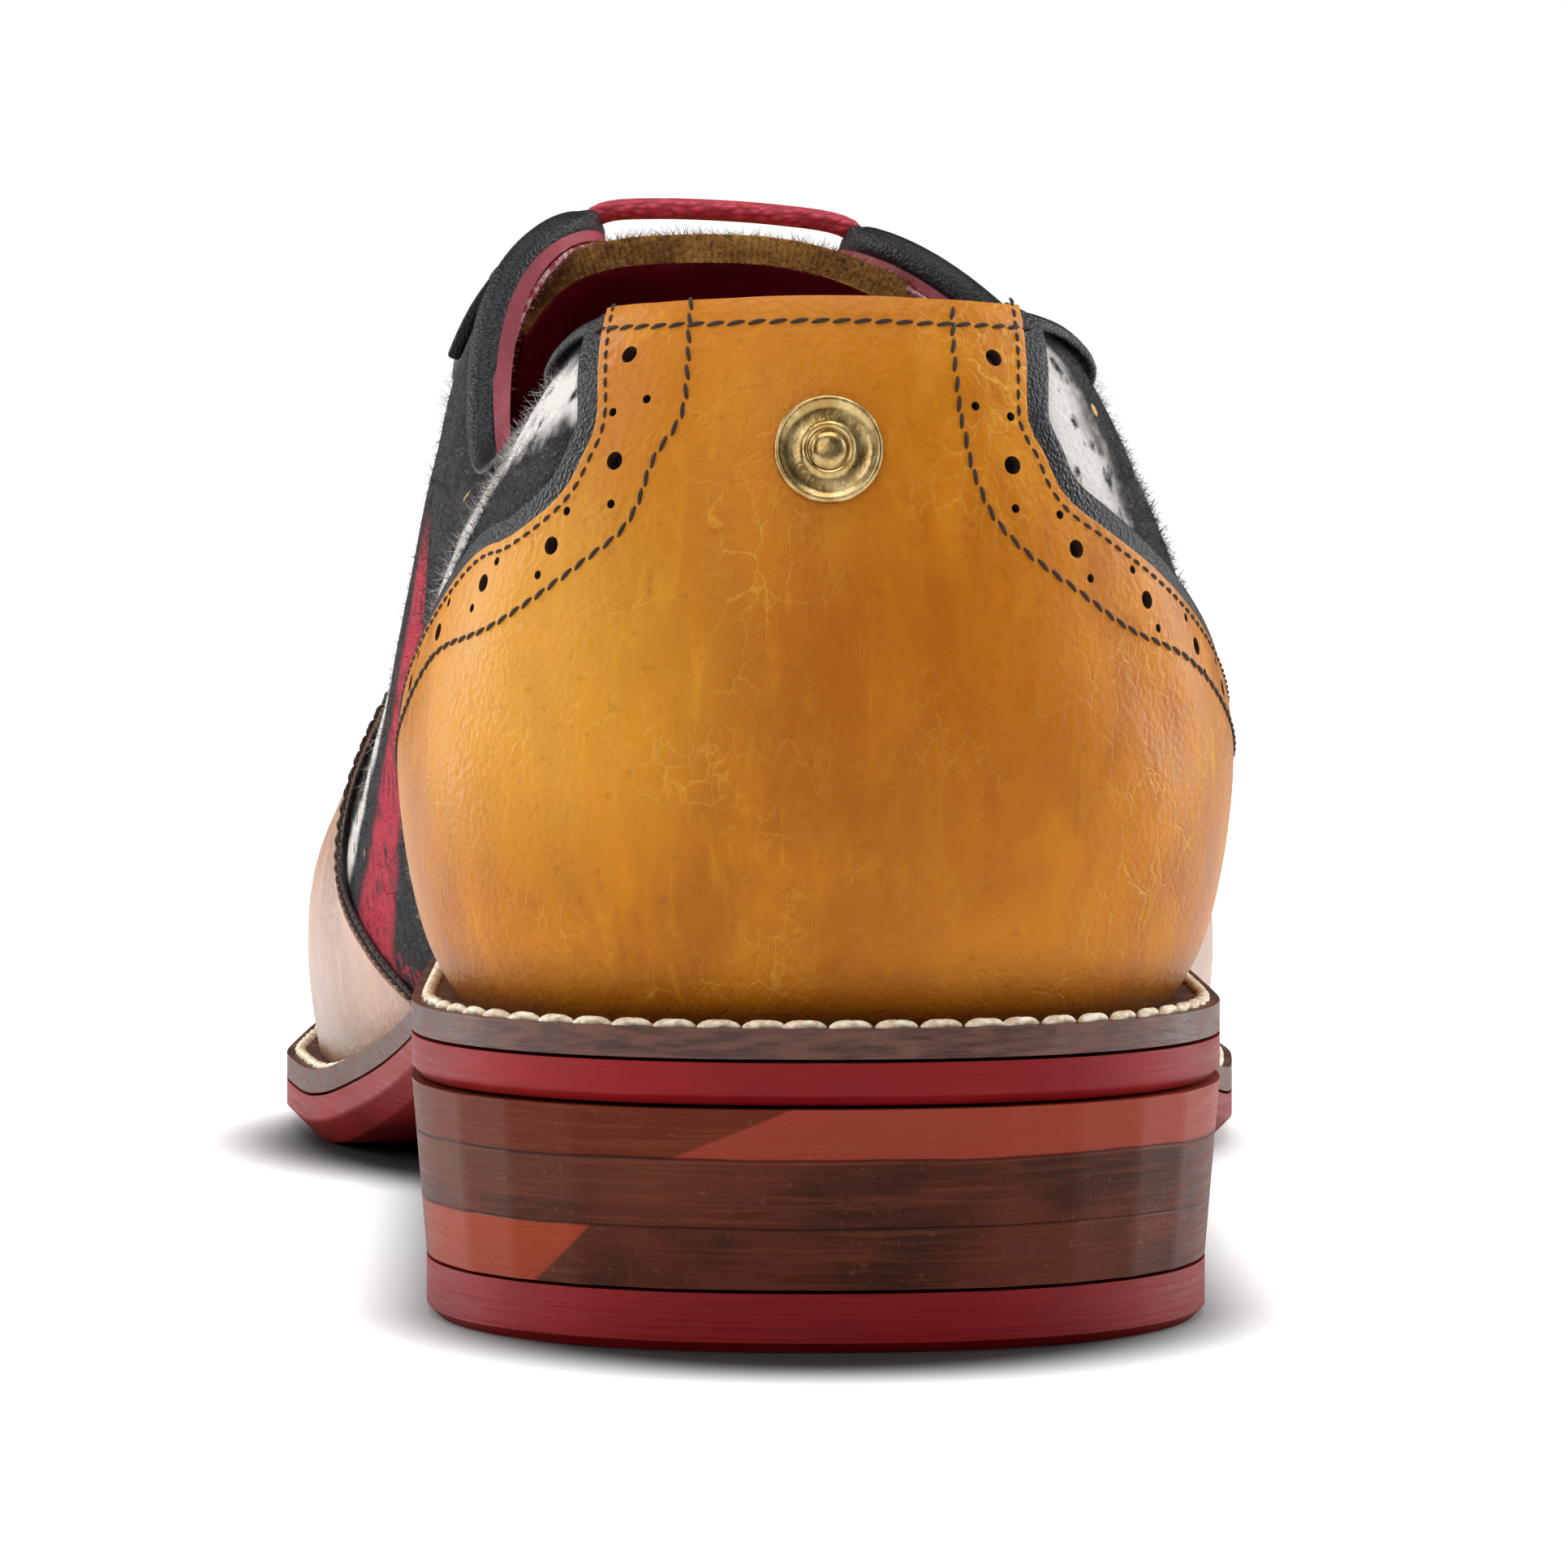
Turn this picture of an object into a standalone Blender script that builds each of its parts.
"""A man's right brogue, empty and standing on its sole, as separate named pieces.

Metres, +Z up, the toe at +Y, the medial side at -X, the lateral side at +X, the floor at z = 0.
One function describes the last. A meridian stands at each place round the foot and climbs from the feather edge,
where upper and welt meet, to the opening or to the ridge of the instep. Upper, overlays, tongue, binding, insole and
soles are all read from those meridians.
"""

import math
from collections import namedtuple

import bpy
import numpy as np

# Driving sizes of the shoe
SOLE_LENGTH = 0.298
BALL_WIDTH = 0.0975
HEEL_HEIGHT = 0.0194
HEEL_LENGTH = 0.074
TOP_LIFT_THICKNESS = 0.0047
OUTSOLE_AT_HEEL = 0.0034
OUTSOLE_AT_BALL = 0.0047
WELT_THICKNESS = 0.0024
TOE_SPRING = 0.011
COLLAR_HEIGHT = 0.0575
INSTEP_HEIGHT = 0.0690

# How far the welt stands out past the feather edge
WELT_REACH_HEEL = 0.0040
WELT_REACH_BALL = 0.0045

# Thicknesses of the soft pieces
UPPER_WALL = 0.0020
OVERLAY = 0.0012
TOE_CAP = 0.0017
TONGUE = 0.0026
INSOLE = 0.0030
BINDING_RADIUS = 0.0014

# Clearances between pieces
GAP = 0.0003
INSOLE_CLEARANCE = 0.0004
TONGUE_CLEARANCE = 0.0012

# Smaller named sizes
THROAT_HALF_GAP_TOP = 0.0115
THROAT_HALF_GAP_END = 0.0080
TONGUE_HALF_WIDTH = 0.0230
EYESTAY_WIDTH = 0.0165
EYELET_SETBACK = 0.0085
EYELET_RADIUS = 0.0018
EYELET_PAIRS = 5
LACE_RADIUS = 0.00115
BINDING_TURN = 0.40
RIVET_RADIUS = 0.0043
RIVET_THICKNESS = 0.0011
RIVET_SHANK_RADIUS = 0.0013
HEEL_TAPER = 0.0012
BREAST_HOLLOW = 0.0030
SOLE_EDGE_ROUND = 0.0022
HEEL_EDGE_ROUND = 0.0008

# Places along the shoe, as shares of the sole's length from the back of the heel
RIVET_RISE = 0.776
HEEL_CENTRE = 0.121
DIP = 0.255
CORNER = 0.349
THROAT_ROUND = 0.575
THROAT = 0.600
TOE_CENTRE = 0.705
TONGUE_TOP = 0.338
TONGUE_END = 0.640
FIRST_EYELET = 0.372
LAST_EYELET = 0.562

# How many meridians, rows and sides the forms have
HEEL_FAN = 8
TOE_FAN = 10
LOW_ROWS = 2
HIGH_ROWS = 7
STAY_ROWS = 3
TONGUE_STATIONS = 11
TONGUE_ACROSS = 5
CORD_SIDES = 8
ROUND_SIDES = 24

# Powers of the round ends in plan: 2 is an ellipse, more is squarer
HEEL_PLAN_POWER = 2.25
TOE_PLAN_POWER = 2.05
BACK_POWER = 2.0
BACK_RISE = 1.365
TOE_POWER = 3.0
TOE_LEVELLING = 0.575
TOE_WIDE_DROP = 0.40

# Sections of the last. Widths are shares of the ball width from the heel's axis, heights of the instep height
# above the feather edge, and a power is how square the section is above its widest place.
LAST_COLUMNS = (
    "along", "medial", "lateral", "medial_bulge", "lateral_bulge",
    "wide_at", "ridge_shift", "ridge", "medial_power", "lateral_power",
)
LAST = (
    (0.121, 0.344, 0.344, 0.041, 0.041, 0.285, 0.000, 1.01, 1.5, 1.5),
    (0.262, 0.336, 0.342, 0.044, 0.039, 0.295, -0.036, 0.965, 1.9, 1.7),
    (0.349, 0.330, 0.344, 0.052, 0.033, 0.310, -0.062, 1.00, 3.8, 2.1),
    (0.453, 0.360, 0.372, 0.056, 0.031, 0.300, -0.067, 0.95, 3.1, 2.1),
    (0.554, 0.420, 0.426, 0.040, 0.026, 0.250, -0.062, 0.83, 2.4, 2.1),
    (0.638, 0.482, 0.477, 0.021, 0.021, 0.190, -0.051, 0.70, 2.3, 2.1),
    (0.705, 0.508, 0.492, 0.015, 0.015, 0.175, -0.046, 0.61, 2.2, 2.15),
)

# Height of the outsole's underside: shares of the heel height, then of the toe spring
TREAD_COLUMNS = ("along", "heel", "spring")
TREAD = (
    (0.000, 1.00, 0.0),
    (0.262, 1.00, 0.0),
    (0.350, 0.86, 0.0),
    (0.450, 0.55, 0.0),
    (0.550, 0.20, 0.0),
    (0.635, 0.00, 0.0),
    (0.740, 0.00, 0.0),
    (0.850, 0.00, 0.22),
    (0.930, 0.00, 0.56),
    (1.000, 0.00, 1.00),
)

# Cut edge of the upper round the foot, as shares of the collar height above the feather edge
COLLAR_SIDE_COLUMNS = ("along", "medial", "lateral")
COLLAR_SIDE = (
    (0.121, 0.868, 0.868),
    (0.168, 0.820, 0.810),
    (0.218, 0.765, 0.737),
    (0.255, 0.748, 0.714),
)
COLLAR_BACK_COLUMNS = ("turn", "height")
COLLAR_BACK = (
    (0.00, 0.868),
    (0.28, 0.905),
    (0.44, 0.976),
    (1.00, 1.000),
)

# Outline of the counter from behind: height and half width, as shares of the collar height and the ball width
COUNTER_BACK_COLUMNS = ("height", "half_width")
COUNTER_BACK = (
    (0.42, 0.520),
    (0.46, 0.400),
    (0.50, 0.340),
    (0.55, 0.314),
    (0.62, 0.274),
    (0.67, 0.237),
    (0.72, 0.201),
    (0.79, 0.179),
    (0.86, 0.167),
    (1.10, 0.163),
)

# Front edge of the counter from the side: share of the sole's length, share of the collar height
COUNTER_SIDE_COLUMNS = ("height", "along")
COUNTER_SIDE = (
    (-0.30, 0.345),
    (0.00, 0.318),
    (0.16, 0.272),
    (0.30, 0.212),
    (0.40, 0.165),
    (0.46, 0.138),
    (0.52, 0.128),
    (1.20, 0.128),
)

# Rear edge of the vamp from the side: share of the sole's length, share of the section's height there
VAMP_SEAM_COLUMNS = ("rise", "along")
VAMP_SEAM = (
    (-0.30, 0.440),
    (0.00, 0.455),
    (0.30, 0.485),
    (0.55, 0.528),
    (0.80, 0.578),
    (1.00, 0.618),
    (1.40, 0.690),
)

# Rear edge of the toe cap from above: share of the ball width from the ridge, share of the sole's length
CAP_LINE_COLUMNS = ("across", "along")
CAP_LINE = (
    (-0.62, 0.715),
    (-0.42, 0.757),
    (-0.22, 0.800),
    (-0.10, 0.802),
    (0.00, 0.775),
    (0.10, 0.802),
    (0.22, 0.800),
    (0.42, 0.757),
    (0.62, 0.715),
)

MEDIAL = -1
LATERAL = 1
FAR = 0.4
ABOVE_THE_COLLAR = 1.1
COUNTER_FACES_END = 0.38
VAMP_FACES_START = 0.40
TOE_FACES_START = 0.66
HEEL_ENDS = 0.26
BALL_STARTS = 0.60

Meridian = namedtuple(
    "Meridian", "axis way sole foot wide foot_z wide_z ridge_z slope power cut station side"
)
Skin = namedtuple("Skin", "points normals faces order")


# Tables

def smooth(knots, values, place):
    """Value at a place of a smooth curve through knots, which never overshoots them."""
    if place <= knots[0]:
        return values[0]
    if place >= knots[-1]:
        return values[-1]
    steps = np.diff(knots)
    rises = np.diff(values) / steps
    slopes = np.zeros(len(knots))
    slopes[0] = rises[0]
    slopes[-1] = rises[-1]
    for i in range(1, len(knots) - 1):
        if rises[i - 1] * rises[i] > 0:
            before = 2 * steps[i] + steps[i - 1]
            after = steps[i] + 2 * steps[i - 1]
            slopes[i] = (before + after) / (before / rises[i - 1] + after / rises[i])
    i = int(np.searchsorted(knots, place)) - 1
    t = (place - knots[i]) / steps[i]
    return (
        values[i] * (2 * t**3 - 3 * t**2 + 1)
        + values[i + 1] * (3 * t**2 - 2 * t**3)
        + steps[i] * (slopes[i] * (t**3 - 2 * t**2 + t) + slopes[i + 1] * (t**3 - t**2))
    )


def read(table, columns, column, place):
    """Value of one column where the table's first column equals the place."""
    rows = np.array(table)
    return float(smooth(rows[:, 0], rows[:, columns.index(column)], place))


def last_size(column, along):
    return read(LAST, LAST_COLUMNS, column, along)


# Heights of the sole, each at a distance from the back of the heel

def share_of(distance):
    return min(max(distance / SOLE_LENGTH, 0.0), 1.0)


def tread_z(distance):
    """Underside of the outsole."""
    along = share_of(distance)
    heel = read(TREAD, TREAD_COLUMNS, "heel", along) * (HEEL_HEIGHT + GAP)
    return heel + read(TREAD, TREAD_COLUMNS, "spring", along) * TOE_SPRING


def forefoot_share(distance):
    """0 over the heel, 1 from the ball forward."""
    return float(smooth([HEEL_ENDS, BALL_STARTS], [0.0, 1.0], share_of(distance)))


def sole_top_z(distance):
    fore = forefoot_share(distance)
    return tread_z(distance) + OUTSOLE_AT_HEEL + (OUTSOLE_AT_BALL - OUTSOLE_AT_HEEL) * fore


def welt_bottom_z(distance):
    return sole_top_z(distance) + GAP


def welt_top_z(distance):
    return welt_bottom_z(distance) + WELT_THICKNESS


def feather_z(distance):
    """Lower edge of the upper."""
    return welt_top_z(distance) + GAP


def welt_reach(distance):
    return WELT_REACH_HEEL + (WELT_REACH_BALL - WELT_REACH_HEEL) * forefoot_share(distance)


# Meridians of the last

def round_reach(side, end, turn, power):
    """Reach of a round end in plan: side at turn 0, end at turn 1."""
    angle = turn * math.pi / 2
    return (abs(math.cos(angle) / side) ** power + abs(math.sin(angle) / end) ** power) ** (-1 / power)


def between(start, stop, share):
    return start + (stop - start) * share


def height_cut(z, wide_z, ridge_z, power):
    return math.asin(((z - wide_z) / (ridge_z - wide_z)) ** (power / 2))


def reach_cut(reach, wide, power):
    return math.acos((reach / wide) ** (power / 2))


def half_gap(along):
    """Half the width of the throat between the facings."""
    if along >= THROAT:
        return 0.0
    width = between(
        THROAT_HALF_GAP_TOP, THROAT_HALF_GAP_END, (along - CORNER) / (THROAT_ROUND - CORNER)
    )
    if along <= THROAT_ROUND:
        return width
    left = (THROAT - along) / (THROAT - THROAT_ROUND)
    return THROAT_HALF_GAP_END * math.sqrt(1 - (1 - left) ** 2)


def side_meridian(along, side):
    name = "medial" if side == MEDIAL else "lateral"
    distance = along * SOLE_LENGTH
    axis_x = last_size("ridge_shift", along) * BALL_WIDTH
    sole = last_size(name, along) * BALL_WIDTH - side * axis_x
    foot = sole - welt_reach(distance)
    wide = foot + last_size(name + "_bulge", along) * BALL_WIDTH
    power = last_size(name + "_power", along)
    foot_z = feather_z(distance)
    wide_z = foot_z + last_size("wide_at", along) * INSTEP_HEIGHT
    ridge_z = foot_z + last_size("ridge", along) * INSTEP_HEIGHT
    if along <= DIP:
        height = read(COLLAR_SIDE, COLLAR_SIDE_COLUMNS, name, along)
        cut = height_cut(foot_z + height * COLLAR_HEIGHT, wide_z, ridge_z, power)
    elif along < CORNER:
        low = side_meridian(DIP, side).cut
        high = side_meridian(CORNER, side).cut
        cut = between(low, high, ((along - DIP) / (CORNER - DIP)) ** 1.8)
    else:
        cut = reach_cut(half_gap(along), wide, power)
    return Meridian(
        (axis_x, distance), (side, 0.0), sole, foot, wide, foot_z, wide_z, ridge_z, 0.0, power, cut, along, side
    )


def heel_meridian(turn, side):
    """A meridian of the round heel: at its side with turn 0, at its back with turn 1."""
    flank = side_meridian(HEEL_CENTRE, side)
    centre = HEEL_CENTRE * SOLE_LENGTH
    angle = turn * math.pi / 2
    sole = round_reach(flank.sole, centre, turn, HEEL_PLAN_POWER)
    foot = sole - WELT_REACH_HEEL
    wide = foot + flank.wide - flank.foot
    back = math.sin(angle) ** 2
    power = between(flank.power, BACK_POWER, back)
    ridge_z = between(flank.ridge_z, flank.foot_z + BACK_RISE * INSTEP_HEIGHT, back)
    height = read(COLLAR_BACK, COLLAR_BACK_COLUMNS, "height", turn)
    cut = height_cut(flank.foot_z + height * COLLAR_HEIGHT, flank.wide_z, ridge_z, power)
    return Meridian(
        flank.axis, (side * math.cos(angle), -math.sin(angle)), sole, foot, wide,
        flank.foot_z, flank.wide_z, ridge_z, 0.0, power, cut, HEEL_CENTRE, side,
    )


def toe_meridian(turn, side):
    """A meridian of the round toe: at its side with turn 0, at the tip with turn 1."""
    flank = side_meridian(TOE_CENTRE, side)
    centre = TOE_CENTRE * SOLE_LENGTH
    angle = turn * math.pi / 2
    sole = round_reach(flank.sole, SOLE_LENGTH - centre, turn, TOE_PLAN_POWER)
    foot = sole - WELT_REACH_BALL
    wide = foot + flank.wide - flank.foot
    foot_z = feather_z(centre + foot * math.sin(angle))
    forward = math.sin(angle) ** 2
    wide_z = foot_z + (flank.wide_z - flank.foot_z) * (1 - TOE_WIDE_DROP * forward)
    power = between(flank.power, TOE_POWER, forward)
    step = 0.01
    behind = side_meridian(TOE_CENTRE - step, side)
    slope = (flank.ridge_z - behind.ridge_z) / (step * SOLE_LENGTH)
    return Meridian(
        flank.axis, (side * math.cos(angle), math.sin(angle)), sole, foot, wide,
        foot_z, wide_z, flank.ridge_z, slope, power,
        math.pi / 2, TOE_CENTRE, side,
    )


def side_stations():
    """Shares of the length where side meridians stand, close together where the edge turns."""
    runs = (
        list(np.linspace(HEEL_CENTRE, HEEL_LENGTH / SOLE_LENGTH, 4)),
        list(np.linspace(DIP, CORNER, 6)),
        list(np.linspace(CORNER, THROAT_ROUND, 8))[1:],
        [between(THROAT_ROUND, THROAT, share) for share in (0.5, 0.87, 1.0)],
        list(np.linspace(THROAT, TOE_CENTRE, 5))[1:],
    )
    return [along for run in runs for along in run]


def all_meridians():
    """Once round the foot: back of the heel, medial side, toe, lateral side."""
    heel_turns = np.linspace(1, 0, HEEL_FAN + 1)[:-1]
    toe_turns = np.linspace(0, 1, TOE_FAN + 1)[1:]
    half = {}
    for side in (MEDIAL, LATERAL):
        half[side] = [heel_meridian(turn, side) for turn in heel_turns]
        half[side] += [side_meridian(along, side) for along in side_stations()]
        half[side] += [toe_meridian(turn, side) for turn in toe_turns]
    return half[MEDIAL] + half[LATERAL][-2:0:-1]


# Points of a meridian

def reach_at(meridian, angle):
    return meridian.wide * max(math.cos(angle), 0.0) ** (2 / meridian.power)


def height_at(meridian, angle):
    ahead = reach_at(meridian, angle) * meridian.way[1]
    levelled = 1 - TOE_LEVELLING * ahead / ((1 - TOE_CENTRE) * SOLE_LENGTH)
    crest = meridian.ridge_z + meridian.slope * ahead * levelled
    return meridian.wide_z + (crest - meridian.wide_z) * math.sin(angle) ** (2 / meridian.power)


def place(meridian, reach, z):
    x = meridian.axis[0] + meridian.way[0] * reach
    y = meridian.axis[1] + meridian.way[1] * reach
    return np.array((x, y, z))


def high_marks(meridian):
    """Shares of the way above the widest place. Beside the throat, the last rows are as wide as the facing stay."""
    if not DIP < meridian.station <= THROAT or meridian.way[1] != 0.0:
        return np.linspace(0.0, 1.0, HIGH_ROWS + 1)
    ends = [(reach_at(meridian, a), height_at(meridian, a)) for a in np.linspace(0.0, meridian.cut, 41)]
    length = float(np.hypot(*np.diff(np.array(ends), axis=0).T).sum())
    stay = EYESTAY_WIDTH / length
    below = np.linspace(0.0, 1.0 - stay, HIGH_ROWS - STAY_ROWS + 1)
    return np.concatenate((below[:-1], np.linspace(1.0 - stay, 1.0, STAY_ROWS + 1)))


def high_points(meridian, start, stop, shares):
    """Points at shares of the way along the meridian between two angles above its widest place."""
    fine = [
        (reach_at(meridian, angle), height_at(meridian, angle))
        for angle in np.linspace(start, stop, 81)
    ]
    fine = np.array(fine)
    lengths = np.concatenate(([0.0], np.cumsum(np.hypot(*np.diff(fine, axis=0).T))))
    marks = lengths[-1] * np.array(shares)
    return list(zip(np.interp(marks, lengths, fine[:, 0]), np.interp(marks, lengths, fine[:, 1])))


def meridian_points(meridian):
    """Points from the feather edge to the cut edge or the ridge."""
    low = []
    for row in range(LOW_ROWS):
        share = row / LOW_ROWS
        reach = between(meridian.foot, meridian.wide, math.sin(share * math.pi / 2))
        low.append((reach, between(meridian.foot_z, meridian.wide_z, share)))
    high = high_points(meridian, 0.0, meridian.cut, high_marks(meridian))
    return [place(meridian, reach, z) for reach, z in low + high]


# Skins, which are surfaces with their normals, and the solids made from them

def face_normals_at_points(points, faces):
    normals = np.zeros_like(points)
    for face in faces:
        corners = points[list(face)]
        normal = np.cross(corners[2] - corners[0], corners[-1] - corners[1])
        for index in face:
            normals[index] += normal
    return normals / np.linalg.norm(normals, axis=1)[:, None]


def triangles(points, faces):
    """Triangles of some quads, each split along its shorter diagonal, so that every offset splits alike."""
    split = []
    for face in faces:
        if len(face) == 3:
            split.append(face)
            continue
        a, b, c, d = face
        if np.linalg.norm(points[a] - points[c]) < np.linalg.norm(points[b] - points[d]):
            split += [(a, b, c), (a, c, d)]
        else:
            split += [(a, b, d), (b, c, d)]
    return split


def lay_on_welt(point, normal):
    """Turns the normal of a point on the feather edge, so that every offset of it stays at the welt's height."""
    step = 0.001
    slope = (feather_z(point[1] + step) - feather_z(point[1] - step)) / (2 * step)
    normal[2] = slope * normal[1]
    normal /= np.linalg.norm(normal)


def upper_skin(meridians):
    """Outer face of the upper, with the two sides sharing the points of the ridge."""
    points = []
    ridge = {}
    order = []
    for meridian in meridians:
        column = []
        for row, point in enumerate(meridian_points(meridian)):
            on_ridge = row == LOW_ROWS + HIGH_ROWS and meridian.station >= THROAT
            if on_ridge and meridian.station in ridge:
                column.append(ridge[meridian.station])
                continue
            if on_ridge:
                ridge[meridian.station] = len(points)
            column.append(len(points))
            points.append(point)
        order.append(column)
    faces = []
    for here, there in zip(order, order[1:] + order[:1]):
        for row in range(LOW_ROWS + HIGH_ROWS):
            corners = (here[row], here[row + 1], there[row + 1], there[row])
            faces.append(tuple(dict.fromkeys(corners)))
    points = np.array(points)
    faces = triangles(points, faces)
    normals = face_normals_at_points(points, faces)
    for column in order:
        lay_on_welt(points[column[0]], normals[column[0]])
    return Skin(points, normals, faces, order)


def thicken(skin, faces, inner, outer):
    """Points and faces of the closed solid between two offsets of some faces of a skin."""
    used = sorted({index for face in faces for index in face})
    new = {old: index for index, old in enumerate(used)}
    count = len(used)
    points = np.vstack((
        skin.points[used] + skin.normals[used] * outer,
        skin.points[used] + skin.normals[used] * inner,
    ))
    solid = []
    edges = {}
    for face in faces:
        solid.append(tuple(new[index] for index in face))
        solid.append(tuple(new[index] + count for index in reversed(face)))
        for start, stop in zip(face, face[1:] + face[:1]):
            edges[(start, stop)] = True
    for start, stop in edges:
        if (stop, start) not in edges:
            solid.append((new[stop], new[start], new[start] + count, new[stop] + count))
    return points, solid


def ring_solid(sections):
    """Points and faces of a closed loop of sections, each with the same number of points."""
    count = len(sections[0])
    points = [point for section in sections for point in section]
    faces = []
    for i in range(len(sections)):
        j = (i + 1) % len(sections)
        for k in range(count):
            m = (k + 1) % count
            faces.append((j * count + k, j * count + m, i * count + m, i * count + k))
    return np.array(points), faces


def tube(path, radius, sides):
    """Points and faces of a round cord with flat ends along a path of points."""
    path = np.array(path)
    ways = np.gradient(path, axis=0)
    ways /= np.linalg.norm(ways, axis=1)[:, None]
    across = np.cross(ways[0], (0.0, 1.0, 0.3))
    points = []
    for point, way in zip(path, ways):
        across = across - way * np.dot(across, way)
        across /= np.linalg.norm(across)
        up = np.cross(way, across)
        for k in range(sides):
            angle = 2 * math.pi * k / sides
            points.append(point + radius * (across * math.cos(angle) + up * math.sin(angle)))
    faces = []
    for i in range(len(path) - 1):
        for k in range(sides):
            m = (k + 1) % sides
            faces.append((i * sides + k, i * sides + m, (i + 1) * sides + m, (i + 1) * sides + k))
    faces.append(tuple(reversed(range(sides))))
    faces.append(tuple(range((len(path) - 1) * sides, len(path) * sides)))
    return np.array(points), faces


# Objects and materials

def material(name, colour, roughness, metallic=0.0):
    made = bpy.data.materials.new(name)
    made.use_nodes = True
    shader = made.node_tree.nodes["Principled BSDF"]
    shader.inputs["Base Color"].default_value = (*colour, 1.0)
    shader.inputs["Roughness"].default_value = roughness
    shader.inputs["Metallic"].default_value = metallic
    return made


def add_object(name, solid, surface=None):
    """An object in the scene, centred on the shoe's own length."""
    points, faces = solid
    mesh = bpy.data.meshes.new(name)
    mesh.from_pydata([tuple(point) for point in points], [], faces)
    mesh.validate()
    mesh.shade_smooth()
    mesh.set_sharp_from_angle(angle=math.radians(35))
    made = bpy.data.objects.new(name, mesh)
    bpy.context.scene.collection.objects.link(made)
    made.parent = bpy.data.objects.get("shoe")
    if surface:
        mesh.materials.append(surface)
    else:
        made.hide_render = True
        made.display_type = "WIRE"
    return made


def cut(target, tool, operation):
    modifier = target.modifiers.new(tool.name, "BOOLEAN")
    modifier.operation = operation
    modifier.solver = "EXACT"
    modifier.object = tool


def prism(name, outline, axis):
    """A cutter that runs right across the shoe along one axis, with the outline in the other two."""
    low = []
    high = []
    for first, second in outline:
        low.append(np.insert((first, second), axis, -FAR))
        high.append(np.insert((first, second), axis, FAR))
    count = len(outline)
    area = sum(a[0] * b[1] - b[0] * a[1] for a, b in zip(outline, outline[1:] + outline[:1]))
    faces = [tuple(reversed(range(count))), tuple(range(count, 2 * count))]
    for k in range(count):
        m = (k + 1) % count
        faces.append((k, m, m + count, k + count))
    if (area > 0) == (axis == 1):
        faces = [tuple(reversed(face)) for face in faces]
    return add_object(name, (np.array(low + high), faces))


def table_curve(table, columns, steps):
    """Points of a table's smooth curve: its first column against its second."""
    first = np.linspace(table[0][0], table[-1][0], steps)
    return [(float(value), read(table, columns, columns[1], value)) for value in first]


# The bottom: heel, outsole, welt and insole

def sole_ring(meridians, inset):
    """Outline of the sole in plan, drawn in by a distance that may change from meridian to meridian."""
    return [place(m, m.sole - inset(m.axis[1]), 0.0)[:2] for m in meridians]


def feather_ring(meridians, inset):
    """The feather edge in plan, drawn in square to itself."""
    ring = np.array([place(m, m.foot, 0.0)[:2] for m in meridians])
    ways = np.roll(ring, -1, axis=0) - np.roll(ring, 1, axis=0)
    ways /= np.linalg.norm(ways, axis=1)[:, None]
    inward = np.stack((ways[:, 1], -ways[:, 0]), axis=1)
    return list(ring + inward * inset)


def plate(rings):
    """A closed plate through outlines in plan, each with its height at a distance, from the bottom up."""
    count = len(rings[0][0])
    points = [(x, y, height(y)) for ring, height in rings for x, y in ring]
    faces = []
    for ring in range(len(rings) - 1):
        for k in range(count):
            m = (k + 1) % count
            low = ring * count
            faces.append((low + k, low + count + k, low + count + m, low + m))
    top = (len(rings) - 1) * count
    for k in range(count // 2):
        corners = (k, (count - k) % count, count - k - 1, k + 1)
        corners = tuple(dict.fromkeys(corners))
        faces.append(tuple(reversed(corners)))
        faces.append(tuple(corner + top for corner in corners))
    return np.array(points), faces


def sole_edge_round(distance):
    return between(HEEL_EDGE_ROUND, SOLE_EDGE_ROUND, forefoot_share(distance))


def no_inset(distance):
    return 0.0


def make_outsole(meridians, surface):
    def low_edge_z(distance):
        return tread_z(distance) + sole_edge_round(distance)

    whole = sole_ring(meridians, no_inset)
    rings = ((sole_ring(meridians, sole_edge_round), tread_z), (whole, low_edge_z), (whole, sole_top_z))
    add_object("outsole", plate(rings), surface)


def heel_outline(meridians, inset):
    """Outline of the heel in plan, with a hollow breast."""
    breast = HEEL_LENGTH / SOLE_LENGTH + 1e-6
    kept = [m for m in meridians if m.axis[1] / SOLE_LENGTH <= breast]
    medial = [m for m in kept if m.side == MEDIAL]
    lateral = [m for m in kept if m.side == LATERAL]
    ring = [tuple(place(m, m.sole - inset, 0.0)[:2]) for m in lateral + medial]
    start = np.array(ring[-1])
    stop = np.array(ring[0])
    for share in np.linspace(0, 1, 7)[1:-1]:
        hollow = BREAST_HOLLOW * math.sin(share * math.pi)
        ring.append(tuple(between(start, stop, share) - np.array((0.0, hollow))))
    return ring


def stacked_solid(layers):
    """A closed solid through outlines of equal count, each at its own height."""
    count = len(layers[0][0])
    points = [(x, y, z) for ring, z in layers for x, y in ring]
    faces = [tuple(range(count))]
    for layer in range(len(layers) - 1):
        for k in range(count):
            m = (k + 1) % count
            low = layer * count
            faces.append((low + k, low + count + k, low + count + m, low + m))
    top = (len(layers) - 1) * count
    faces.append(tuple(top + k for k in reversed(range(count))))
    return np.array(points), faces


def make_heel(meridians, stack_surface, lift_surface):
    lift_inset = HEEL_TAPER
    layers = (
        (heel_outline(meridians, lift_inset + HEEL_EDGE_ROUND), 0.0),
        (heel_outline(meridians, lift_inset), HEEL_EDGE_ROUND),
        (heel_outline(meridians, lift_inset), TOP_LIFT_THICKNESS),
    )
    add_object("top_lift", stacked_solid(layers), lift_surface)
    layers = (
        (heel_outline(meridians, lift_inset), TOP_LIFT_THICKNESS + GAP),
        (heel_outline(meridians, 0.0), HEEL_HEIGHT),
    )
    add_object("heel_stack", stacked_solid(layers), stack_surface)


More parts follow.
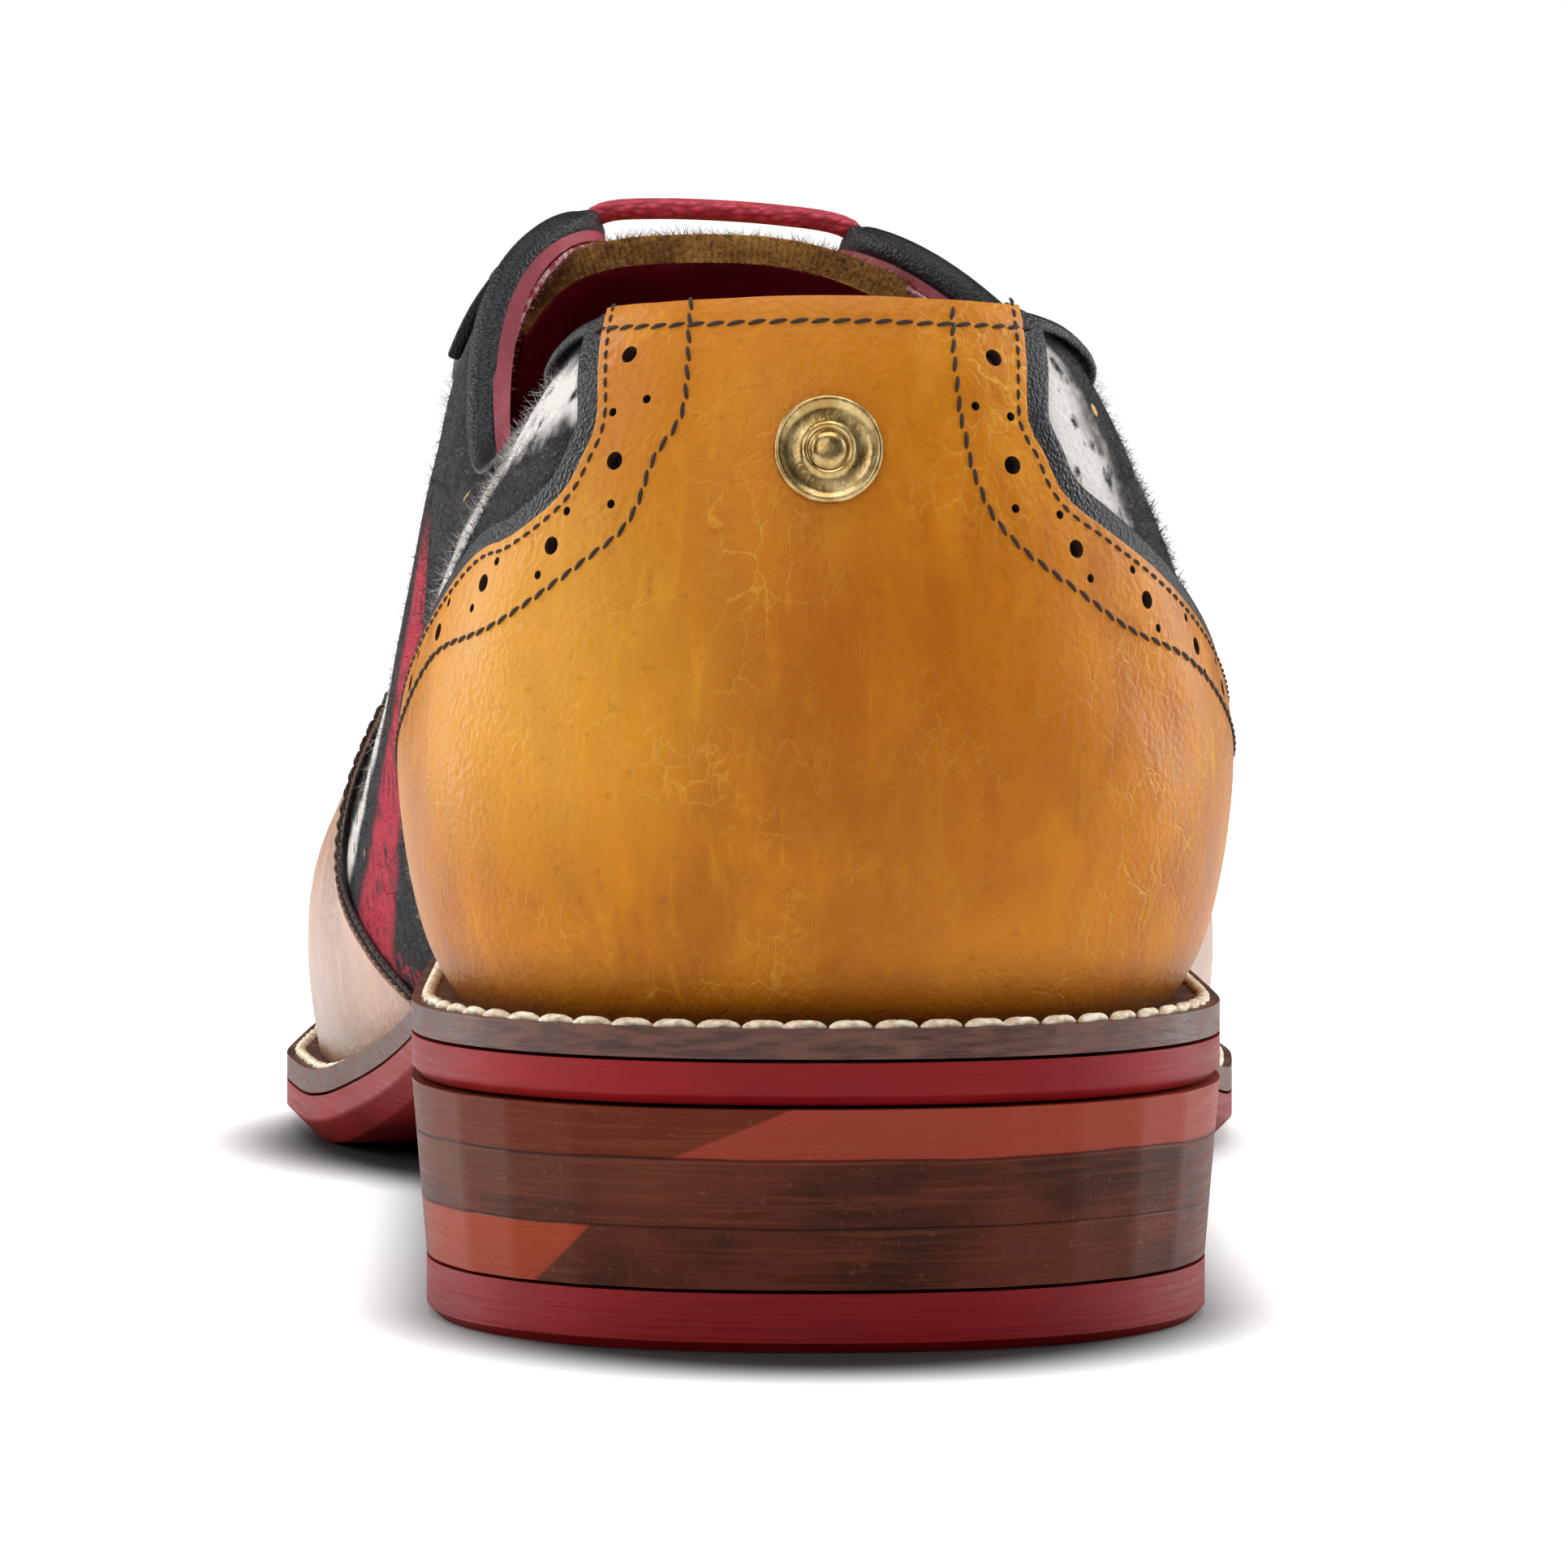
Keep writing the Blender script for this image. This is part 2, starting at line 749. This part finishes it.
def make_welt(meridians, surface):
    inner = feather_ring(meridians, UPPER_WALL)
    outer = sole_ring(meridians, no_inset)
    sections = []
    for (inner_x, inner_y), (outer_x, outer_y) in zip(inner, outer):
        sections.append((
            (inner_x, inner_y, welt_bottom_z(inner_y)),
            (inner_x, inner_y, welt_top_z(inner_y)),
            (outer_x, outer_y, welt_top_z(outer_y)),
            (outer_x, outer_y, welt_bottom_z(outer_y)),
        ))
    add_object("welt", ring_solid(sections), surface)


def make_insole(meridians, surface):
    def top_z(distance):
        return feather_z(distance) + INSOLE

    ring = feather_ring(meridians, UPPER_WALL + INSOLE_CLEARANCE)
    add_object("insole", plate(((ring, welt_bottom_z), (ring, top_z))), surface)


# The upper and its overlays

def counter_cutters():
    base = feather_z(0.0)
    half = [
        (half_width * BALL_WIDTH, base + height * COLLAR_HEIGHT)
        for height, half_width in table_curve(COUNTER_BACK, COUNTER_BACK_COLUMNS, 12)
    ]
    low = (half[0][0], 0.0)
    right = [low] + half
    back = right + [(-x, z) for x, z in reversed(right)]
    side = [
        (along * SOLE_LENGTH, base + height * COLLAR_HEIGHT)
        for height, along in table_curve(COUNTER_SIDE, COUNTER_SIDE_COLUMNS, 13)
    ]
    side += [(-FAR, side[-1][1]), (-FAR, side[0][1])]
    return prism("counter_back_cutter", back, 1), prism("counter_side_cutter", side, 0)


def seam_outline(setback):
    """Side view of all that lies in front of the vamp's rear edge."""
    outline = []
    for rise, along in table_curve(VAMP_SEAM, VAMP_SEAM_COLUMNS, 10):
        foot = feather_z(along * SOLE_LENGTH)
        height = last_size("ridge", along) * INSTEP_HEIGHT
        outline.append((along * SOLE_LENGTH + setback, foot + rise * height))
    return outline + [(FAR, outline[-1][1]), (FAR, outline[0][1])]


def cap_outline(setback, end):
    """Plan view of what lies from the toe cap's rear edge to the end."""
    outline = []
    for across, along in table_curve(CAP_LINE, CAP_LINE_COLUMNS, 17):
        shift = last_size("ridge_shift", along) * BALL_WIDTH
        outline.append((shift + across * BALL_WIDTH, along * SOLE_LENGTH + setback))
    return outline + [(outline[-1][0], end), (outline[0][0], end)]


def eyestay_faces(skin, meridians, side):
    """Faces of the rows beside the throat on one side, from the corner of the topline to the throat's end."""
    wanted = set()
    for meridian, column in zip(meridians, skin.order):
        if meridian.side == side and CORNER <= meridian.station <= THROAT and meridian.way[1] == 0.0:
            wanted.update(column[-1 - STAY_ROWS:])
    return [face for face in skin.faces if wanted.issuperset(face)]


def skin_frame(meridian, angle):
    """Point and outward normal of the last on a meridian at an angle above its widest place."""
    def at(one, turn):
        return place(one, reach_at(one, turn), height_at(one, turn))

    step = 1e-3
    point = at(meridian, angle)
    up = at(meridian, min(angle + step, math.pi / 2)) - at(meridian, angle - step)
    beside = side_meridian(meridian.station + step, meridian.side)
    level = at(beside, angle) - point
    normal = np.cross(level, up)
    normal /= np.linalg.norm(normal)
    if normal[2] < 0:
        normal = -normal
    return point, normal


def eyelet_places():
    """For each pair of eyelets: the share of the length, and point and normal on each side."""
    pairs = []
    for along in np.linspace(FIRST_EYELET, LAST_EYELET, EYELET_PAIRS):
        pair = {}
        for side in (MEDIAL, LATERAL):
            meridian = side_meridian(along, side)
            reach = half_gap(along) + EYELET_SETBACK
            pair[side] = skin_frame(meridian, reach_cut(reach, meridian.wide, meridian.power))
        pairs.append((along, pair))
    return pairs


def stub(point, normal, radius, below, above, sides):
    """A short round bar along a normal, from below the point to above it."""
    steps = [point + normal * offset for offset in np.linspace(-below, above, 3)]
    return tube(steps, radius, sides)


def join_solids(solids):
    points = []
    faces = []
    for solid_points, solid_faces in solids:
        start = len(points)
        points += list(solid_points)
        faces += [tuple(index + start for index in face) for face in solid_faces]
    return np.array(points), faces


def make_upper(skin, meridians, surfaces):
    holes = []
    for _, pair in eyelet_places():
        for point, normal in pair.values():
            holes.append(stub(point, normal, EYELET_RADIUS, 2 * UPPER_WALL, 4 * OVERLAY, 12))
    point, normal = rivet_place(meridians)
    reach = 3 * UPPER_WALL
    holes.append(stub(point, normal, RIVET_SHANK_RADIUS + GAP, reach, reach, 16))
    drill = add_object("hole_cutter", join_solids(holes))

    upper = add_object("upper", thicken(skin, skin.faces, -UPPER_WALL, 0.0), surfaces["felt"])
    cut(upper, drill, "DIFFERENCE")

    back_cutter, side_cutter = counter_cutters()
    rear = [f for f in skin.faces if skin.points[list(f)][:, 1].mean() < COUNTER_FACES_END * SOLE_LENGTH]
    rear = [f for f in rear if skin.points[list(f)][:, 2].mean() < feather_z(0.0) + ABOVE_THE_COLLAR * COLLAR_HEIGHT]
    counter = add_object("counter", thicken(skin, rear, GAP, GAP + OVERLAY), surfaces["counter"])
    cut(counter, back_cutter, "INTERSECT")
    cut(counter, side_cutter, "INTERSECT")
    cut(counter, drill, "DIFFERENCE")

    fore = [f for f in skin.faces if skin.points[list(f)][:, 1].mean() > VAMP_FACES_START * SOLE_LENGTH]
    vamp = add_object("vamp", thicken(skin, fore, GAP, GAP + OVERLAY), surfaces["vamp"])
    cut(vamp, prism("vamp_seam_cutter", seam_outline(0.0), 0), "INTERSECT")
    cut(vamp, prism("vamp_cap_cutter", cap_outline(-GAP, FAR), 2), "DIFFERENCE")

    toe = [f for f in skin.faces if skin.points[list(f)][:, 1].mean() > TOE_FACES_START * SOLE_LENGTH]
    toe_cap = add_object("toe_cap", thicken(skin, toe, GAP, GAP + TOE_CAP), surfaces["counter"])
    cut(toe_cap, prism("toe_cap_cutter", cap_outline(0.0, FAR), 2), "INTERSECT")

    seam = prism("eyestay_seam_cutter", seam_outline(-GAP), 0)
    for side, word in ((MEDIAL, "medial"), (LATERAL, "lateral")):
        faces = eyestay_faces(skin, meridians, side)
        name = "eyestay_" + word
        eyestay = add_object(name, thicken(skin, faces, GAP, GAP + OVERLAY), surfaces["facing"])
        cut(eyestay, seam, "DIFFERENCE")
        cut(eyestay, drill, "DIFFERENCE")


def rivet_place(meridians):
    """Point and normal of the last on the middle of the back, at the rivet's height."""
    back = meridians[0]
    z = back.foot_z + RIVET_RISE * COLLAR_HEIGHT
    step = 0.0005
    reaches = []
    for height in (z - step, z, z + step):
        angle = height_cut(height, back.wide_z, back.ridge_z, back.power)
        reaches.append(reach_at(back, angle))
    lean = (reaches[0] - reaches[2]) / (2 * step)
    normal = np.array((0.0, -1.0, lean))
    return place(back, reaches[1], z), normal / np.linalg.norm(normal)


def make_rivet(meridians, surface):
    """A domed brass head with a ring round its middle, on a shank through counter and upper."""
    point, normal = rivet_place(meridians)
    base = 2 * GAP + OVERLAY
    profile = (
        (-UPPER_WALL * 0.5, RIVET_SHANK_RADIUS),
        (base, RIVET_SHANK_RADIUS),
        (base, RIVET_RADIUS * 0.94),
        (base + RIVET_THICKNESS * 0.45, RIVET_RADIUS),
        (base + RIVET_THICKNESS * 0.85, RIVET_RADIUS * 0.90),
        (base + RIVET_THICKNESS * 0.70, RIVET_RADIUS * 0.80),
        (base + RIVET_THICKNESS * 0.85, RIVET_RADIUS * 0.50),
        (base + RIVET_THICKNESS, RIVET_RADIUS * 0.40),
    )
    across = np.array((1.0, 0.0, 0.0))
    up = np.cross(normal, across)
    points = []
    for out, radius in profile:
        for k in range(ROUND_SIDES):
            angle = 2 * math.pi * k / ROUND_SIDES
            points.append(point + normal * out + radius * (across * math.cos(angle) + up * math.sin(angle)))
    faces = [tuple(reversed(range(ROUND_SIDES)))]
    for ring in range(len(profile) - 1):
        for k in range(ROUND_SIDES):
            m = (k + 1) % ROUND_SIDES
            low = ring * ROUND_SIDES
            faces.append((low + k, low + m, low + ROUND_SIDES + m, low + ROUND_SIDES + k))
    top = (len(profile) - 1) * ROUND_SIDES
    faces.append(tuple(top + k for k in range(ROUND_SIDES)))
    add_object("rivet", (np.array(points), faces), surface)


def make_binding(skin, meridians, surface):
    """The rolled edge from one side of the counter, round the throat, to the other."""
    edge = []
    for meridian, column in zip(meridians, skin.order):
        if meridian.station > THROAT:
            continue
        if meridian.way[1] < -BINDING_TURN:
            continue
        edge.append(column[-1])
    points = skin.points[edge]
    normals = skin.normals[edge]
    ways = np.gradient(points, axis=0)
    away = np.cross(ways, normals)
    away /= np.linalg.norm(away, axis=1)[:, None]
    centre = points + away * (BINDING_RADIUS + GAP) - normals * (UPPER_WALL - OVERLAY) / 2
    add_object("topline_binding", tube(centre, BINDING_RADIUS, CORD_SIDES), surface)


def make_tongue(surface):
    """A curved leaf under the throat, parallel to the last."""
    stations = np.linspace(TONGUE_TOP, TONGUE_END, TONGUE_STATIONS)
    points = []
    for along in stations:
        row = []
        for side in (MEDIAL, LATERAL):
            meridian = side_meridian(along, side)
            start = reach_cut(TONGUE_HALF_WIDTH, meridian.wide, meridian.power)
            high = high_points(meridian, start, math.pi / 2, np.linspace(0.0, 1.0, TONGUE_ACROSS + 1))
            row.append([place(meridian, reach, z) for reach, z in high])
        points += row[0] + row[1][-2::-1]
    count = 2 * TONGUE_ACROSS + 1
    faces = []
    for i in range(TONGUE_STATIONS - 1):
        for k in range(count - 1):
            corner = i * count + k
            faces.append((corner, corner + 1, corner + count + 1, corner + count))
    points = np.array(points)
    normals = face_normals_at_points(points, faces)
    skin = Skin(points, normals, faces, None)
    outer = -UPPER_WALL - TONGUE_CLEARANCE
    add_object("tongue", thicken(skin, faces, outer - TONGUE, outer), surface)


def make_lace(surface):
    """Bars across the throat. Each end turns down into its eyelet."""
    over = OVERLAY + 3 * GAP + LACE_RADIUS
    for number, (along, pair) in enumerate(eyelet_places(), start=1):
        half = {}
        for side, (point, normal) in pair.items():
            meridian = side_meridian(along, side)
            edge_reach = half_gap(along)
            over_facing = []
            for share in (0.72, 0.36, 0.0):
                reach = edge_reach + share * EYELET_SETBACK
                angle = reach_cut(reach, meridian.wide, meridian.power)
                there, away = skin_frame(meridian, angle)
                over_facing.append(there + away * over)
            inward = over_facing[0] - point
            inward -= normal * np.dot(inward, normal)
            half[side] = [
                point - normal * UPPER_WALL * 0.5,
                point + normal * (GAP + OVERLAY),
                point + normal * (over - 0.4 * LACE_RADIUS) + inward * 0.3,
            ] + over_facing
        medial = half[MEDIAL]
        lateral = half[LATERAL]
        middle = (medial[-1] + lateral[-1]) / 2
        path = medial + [middle] + lateral[::-1]
        add_object(f"lace_bar_{number}", tube(path, LACE_RADIUS, CORD_SIDES), surface)


def main():
    for old in list(bpy.data.objects):
        bpy.data.objects.remove(old)
    shoe = bpy.data.objects.new("shoe", None)
    bpy.context.scene.collection.objects.link(shoe)

    meridians = all_meridians()
    widths = [place(m, m.sole, 0.0)[0] for m in meridians]
    back = meridians[0]
    rear = min(0.0, place(back, back.wide, 0.0)[1] - GAP - OVERLAY)
    shoe.location = (-(min(widths) + max(widths)) / 2, -(rear + SOLE_LENGTH) / 2, 0.0)

    surfaces = {
        "felt": material("wool_felt", (0.09, 0.09, 0.10), 0.95),
        "counter": material("mustard_leather", (0.52, 0.20, 0.02), 0.35),
        "vamp": material("tan_leather", (0.55, 0.36, 0.24), 0.35),
        "facing": material("black_leather", (0.03, 0.03, 0.035), 0.4),
    }
    red_leather = material("red_leather", (0.28, 0.02, 0.03), 0.45)
    brown_leather = material("brown_leather", (0.14, 0.05, 0.03), 0.5)
    make_outsole(meridians, red_leather)
    make_heel(meridians, material("stacked_leather", (0.15, 0.04, 0.02), 0.45), red_leather)
    make_welt(meridians, brown_leather)
    make_insole(meridians, material("lining_leather", (0.20, 0.02, 0.04), 0.6))

    skin = upper_skin(meridians)
    make_upper(skin, meridians, surfaces)
    make_binding(skin, meridians, surfaces["facing"])
    make_tongue(material("suede", (0.45, 0.27, 0.10), 0.9))
    make_rivet(meridians, material("brass", (0.75, 0.60, 0.25), 0.25, 1.0))
    make_lace(material("waxed_cord", (0.55, 0.03, 0.08), 0.6))


main()
